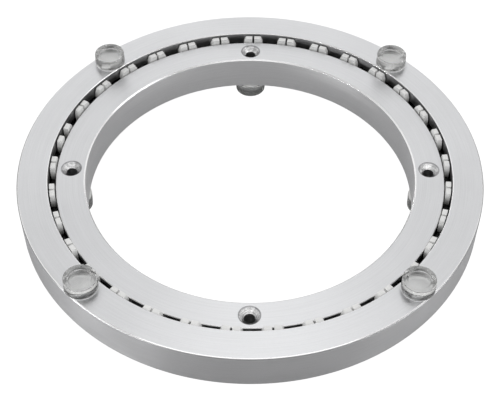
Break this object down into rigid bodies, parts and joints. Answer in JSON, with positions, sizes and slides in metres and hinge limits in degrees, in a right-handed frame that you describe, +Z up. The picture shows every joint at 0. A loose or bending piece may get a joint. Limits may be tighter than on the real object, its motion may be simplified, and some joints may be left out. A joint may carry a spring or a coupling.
{
  "type": "lazy susan bearing",
  "caption": "Round turntable bearing: the outer ring turns on balls around an inner ring with countersunk screw holes; rubber pads on top, rubber feet below.",
  "frame": {"origin": "on the bearing's axis, at the plane that the feet rest on", "axes": "+Z up along the bearing's axis; +X and +Y each pass through a screw hole and a foot of the inner ring"},
  "size_m": [0.14, 0.14, 0.0222],
  "materials": {
    "inner_ring": "fine turned satin",
    "outer_ring": "fine turned satin",
    "cage": "moulded white nylon",
    "balls": "polished",
    "pads": "clear glossy",
    "feet": "clear glossy"
  },
  "bodies": {
    "base": {"inner_ring": "inner_ring", "foot_1": "feet", "foot_2": "feet", "foot_3": "feet", "foot_4": "feet"},
    "turntable": {"outer_ring": "outer_ring", "pad_1": "pads", "pad_2": "pads", "pad_3": "pads", "pad_4": "pads"},
    "cage": {"ball_cage": "cage"},
    "ball_01_body": {"ball_01": "balls"},
    "ball_02_body": {"ball_02": "balls"},
    "ball_03_body": {"ball_03": "balls"},
    "ball_04_body": {"ball_04": "balls"},
    "ball_05_body": {"ball_05": "balls"},
    "ball_06_body": {"ball_06": "balls"},
    "ball_07_body": {"ball_07": "balls"},
    "ball_08_body": {"ball_08": "balls"},
    "ball_09_body": {"ball_09": "balls"},
    "ball_10_body": {"ball_10": "balls"},
    "ball_11_body": {"ball_11": "balls"},
    "ball_12_body": {"ball_12": "balls"},
    "ball_13_body": {"ball_13": "balls"},
    "ball_14_body": {"ball_14": "balls"},
    "ball_15_body": {"ball_15": "balls"},
    "ball_16_body": {"ball_16": "balls"},
    "ball_17_body": {"ball_17": "balls"},
    "ball_18_body": {"ball_18": "balls"},
    "ball_19_body": {"ball_19": "balls"},
    "ball_20_body": {"ball_20": "balls"},
    "ball_21_body": {"ball_21": "balls"},
    "ball_22_body": {"ball_22": "balls"},
    "ball_23_body": {"ball_23": "balls"},
    "ball_24_body": {"ball_24": "balls"},
    "ball_25_body": {"ball_25": "balls"},
    "ball_26_body": {"ball_26": "balls"},
    "ball_27_body": {"ball_27": "balls"},
    "ball_28_body": {"ball_28": "balls"},
    "ball_29_body": {"ball_29": "balls"},
    "ball_30_body": {"ball_30": "balls"},
    "ball_31_body": {"ball_31": "balls"},
    "ball_32_body": {"ball_32": "balls"},
    "ball_33_body": {"ball_33": "balls"}
  },
  "joints": [
    {"name": "outer_spin", "type": "hinge", "parent": "base", "child": "turntable", "pos_m": [0, 0, 0.01112], "axis": [0, 0, 1], "continuous": true},
    {"name": "cage_orbit", "type": "hinge", "parent": "base", "child": "cage", "pos_m": [0, 0, 0.01112], "axis": [0, 0, 1], "continuous": true},
    {"name": "ball_01_roll", "type": "hinge", "parent": "cage", "child": "ball_01_body", "pos_m": [-0.05599, 0.021, 0.01112], "axis": [0, 0, 1], "continuous": true},
    {"name": "ball_02_roll", "type": "hinge", "parent": "cage", "child": "ball_02_body", "pos_m": [-0.05105, 0.03114, 0.01112], "axis": [0, 0, 1], "continuous": true},
    {"name": "ball_03_roll", "type": "hinge", "parent": "cage", "child": "ball_03_body", "pos_m": [-0.0443, 0.04016, 0.01112], "axis": [0, 0, 1], "continuous": true},
    {"name": "ball_04_roll", "type": "hinge", "parent": "cage", "child": "ball_04_body", "pos_m": [-0.03598, 0.04776, 0.01112], "axis": [0, 0, 1], "continuous": true},
    {"name": "ball_05_roll", "type": "hinge", "parent": "cage", "child": "ball_05_body", "pos_m": [-0.02638, 0.05367, 0.01112], "axis": [0, 0, 1], "continuous": true},
    {"name": "ball_06_roll", "type": "hinge", "parent": "cage", "child": "ball_06_body", "pos_m": [-0.01584, 0.05766, 0.01112], "axis": [0, 0, 1], "continuous": true},
    {"name": "ball_07_roll", "type": "hinge", "parent": "cage", "child": "ball_07_body", "pos_m": [-0.00474, 0.05961, 0.01112], "axis": [0, 0, 1], "continuous": true},
    {"name": "ball_08_roll", "type": "hinge", "parent": "cage", "child": "ball_08_body", "pos_m": [0.00653, 0.05944, 0.01112], "axis": [0, 0, 1], "continuous": true},
    {"name": "ball_09_roll", "type": "hinge", "parent": "cage", "child": "ball_09_body", "pos_m": [0.01757, 0.05716, 0.01112], "axis": [0, 0, 1], "continuous": true},
    {"name": "ball_10_roll", "type": "hinge", "parent": "cage", "child": "ball_10_body", "pos_m": [0.02798, 0.05285, 0.01112], "axis": [0, 0, 1], "continuous": true},
    {"name": "ball_11_roll", "type": "hinge", "parent": "cage", "child": "ball_11_body", "pos_m": [0.0374, 0.04666, 0.01112], "axis": [0, 0, 1], "continuous": true},
    {"name": "ball_12_roll", "type": "hinge", "parent": "cage", "child": "ball_12_body", "pos_m": [0.04549, 0.03882, 0.01112], "axis": [0, 0, 1], "continuous": true},
    {"name": "ball_13_roll", "type": "hinge", "parent": "cage", "child": "ball_13_body", "pos_m": [0.05196, 0.02959, 0.01112], "axis": [0, 0, 1], "continuous": true},
    {"name": "ball_14_roll", "type": "hinge", "parent": "cage", "child": "ball_14_body", "pos_m": [0.05659, 0.01931, 0.01112], "axis": [0, 0, 1], "continuous": true},
    {"name": "ball_15_roll", "type": "hinge", "parent": "cage", "child": "ball_15_body", "pos_m": [0.05921, 0.00835, 0.01112], "axis": [0, 0, 1], "continuous": true},
    {"name": "ball_16_roll", "type": "hinge", "parent": "cage", "child": "ball_16_body", "pos_m": [0.05973, -0.00291, 0.01112], "axis": [0, 0, 1], "continuous": true},
    {"name": "ball_17_roll", "type": "hinge", "parent": "cage", "child": "ball_17_body", "pos_m": [0.05812, -0.01406, 0.01112], "axis": [0, 0, 1], "continuous": true},
    {"name": "ball_18_roll", "type": "hinge", "parent": "cage", "child": "ball_18_body", "pos_m": [0.05445, -0.02472, 0.01112], "axis": [0, 0, 1], "continuous": true},
    {"name": "ball_19_roll", "type": "hinge", "parent": "cage", "child": "ball_19_body", "pos_m": [0.04885, -0.0345, 0.01112], "axis": [0, 0, 1], "continuous": true},
    {"name": "ball_20_roll", "type": "hinge", "parent": "cage", "child": "ball_20_body", "pos_m": [0.04151, -0.04305, 0.01112], "axis": [0, 0, 1], "continuous": true},
    {"name": "ball_21_roll", "type": "hinge", "parent": "cage", "child": "ball_21_body", "pos_m": [0.03269, -0.05007, 0.01112], "axis": [0, 0, 1], "continuous": true},
    {"name": "ball_22_roll", "type": "hinge", "parent": "cage", "child": "ball_22_body", "pos_m": [0.02272, -0.05532, 0.01112], "axis": [0, 0, 1], "continuous": true},
    {"name": "ball_23_roll", "type": "hinge", "parent": "cage", "child": "ball_23_body", "pos_m": [0.01193, -0.0586, 0.01112], "axis": [0, 0, 1], "continuous": true},
    {"name": "ball_24_roll", "type": "hinge", "parent": "cage", "child": "ball_24_body", "pos_m": [0.00073, -0.05979, 0.01112], "axis": [0, 0, 1], "continuous": true},
    {"name": "ball_25_roll", "type": "hinge", "parent": "cage", "child": "ball_25_body", "pos_m": [-0.01051, -0.05887, 0.01112], "axis": [0, 0, 1], "continuous": true},
    {"name": "ball_26_roll", "type": "hinge", "parent": "cage", "child": "ball_26_body", "pos_m": [-0.02136, -0.05585, 0.01112], "axis": [0, 0, 1], "continuous": true},
    {"name": "ball_27_roll", "type": "hinge", "parent": "cage", "child": "ball_27_body", "pos_m": [-0.03146, -0.05085, 0.01112], "axis": [0, 0, 1], "continuous": true},
    {"name": "ball_28_roll", "type": "hinge", "parent": "cage", "child": "ball_28_body", "pos_m": [-0.04045, -0.04404, 0.01112], "axis": [0, 0, 1], "continuous": true},
    {"name": "ball_29_roll", "type": "hinge", "parent": "cage", "child": "ball_29_body", "pos_m": [-0.04799, -0.03567, 0.01112], "axis": [0, 0, 1], "continuous": true},
    {"name": "ball_30_roll", "type": "hinge", "parent": "cage", "child": "ball_30_body", "pos_m": [-0.05383, -0.02603, 0.01112], "axis": [0, 0, 1], "continuous": true},
    {"name": "ball_31_roll", "type": "hinge", "parent": "cage", "child": "ball_31_body", "pos_m": [-0.05776, -0.01547, 0.01112], "axis": [0, 0, 1], "continuous": true},
    {"name": "ball_32_roll", "type": "hinge", "parent": "cage", "child": "ball_32_body", "pos_m": [-0.05964, -0.00436, 0.01112], "axis": [0, 0, 1], "continuous": true},
    {"name": "ball_33_roll", "type": "hinge", "parent": "cage", "child": "ball_33_body", "pos_m": [-0.0594, 0.00691, 0.01112], "axis": [0, 0, 1], "continuous": true}
  ],
  "couplings": [
    {"joint": "cage_orbit", "follows": "outer_spin", "ratio": 0.52655},
    {"joint": "ball_01_roll", "follows": "outer_spin", "ratio": 9.3907},
    {"joint": "ball_02_roll", "follows": "outer_spin", "ratio": 9.3907},
    {"joint": "ball_03_roll", "follows": "outer_spin", "ratio": 9.3907},
    {"joint": "ball_04_roll", "follows": "outer_spin", "ratio": 9.3907},
    {"joint": "ball_05_roll", "follows": "outer_spin", "ratio": 9.3907},
    {"joint": "ball_06_roll", "follows": "outer_spin", "ratio": 9.3907},
    {"joint": "ball_07_roll", "follows": "outer_spin", "ratio": 9.3907},
    {"joint": "ball_08_roll", "follows": "outer_spin", "ratio": 9.3907},
    {"joint": "ball_09_roll", "follows": "outer_spin", "ratio": 9.3907},
    {"joint": "ball_10_roll", "follows": "outer_spin", "ratio": 9.3907},
    {"joint": "ball_11_roll", "follows": "outer_spin", "ratio": 9.3907},
    {"joint": "ball_12_roll", "follows": "outer_spin", "ratio": 9.3907},
    {"joint": "ball_13_roll", "follows": "outer_spin", "ratio": 9.3907},
    {"joint": "ball_14_roll", "follows": "outer_spin", "ratio": 9.3907},
    {"joint": "ball_15_roll", "follows": "outer_spin", "ratio": 9.3907},
    {"joint": "ball_16_roll", "follows": "outer_spin", "ratio": 9.3907},
    {"joint": "ball_17_roll", "follows": "outer_spin", "ratio": 9.3907},
    {"joint": "ball_18_roll", "follows": "outer_spin", "ratio": 9.3907},
    {"joint": "ball_19_roll", "follows": "outer_spin", "ratio": 9.3907},
    {"joint": "ball_20_roll", "follows": "outer_spin", "ratio": 9.3907},
    {"joint": "ball_21_roll", "follows": "outer_spin", "ratio": 9.3907},
    {"joint": "ball_22_roll", "follows": "outer_spin", "ratio": 9.3907},
    {"joint": "ball_23_roll", "follows": "outer_spin", "ratio": 9.3907},
    {"joint": "ball_24_roll", "follows": "outer_spin", "ratio": 9.3907},
    {"joint": "ball_25_roll", "follows": "outer_spin", "ratio": 9.3907},
    {"joint": "ball_26_roll", "follows": "outer_spin", "ratio": 9.3907},
    {"joint": "ball_27_roll", "follows": "outer_spin", "ratio": 9.3907},
    {"joint": "ball_28_roll", "follows": "outer_spin", "ratio": 9.3907},
    {"joint": "ball_29_roll", "follows": "outer_spin", "ratio": 9.3907},
    {"joint": "ball_30_roll", "follows": "outer_spin", "ratio": 9.3907},
    {"joint": "ball_31_roll", "follows": "outer_spin", "ratio": 9.3907},
    {"joint": "ball_32_roll", "follows": "outer_spin", "ratio": 9.3907},
    {"joint": "ball_33_roll", "follows": "outer_spin", "ratio": 9.3907}
  ]
}
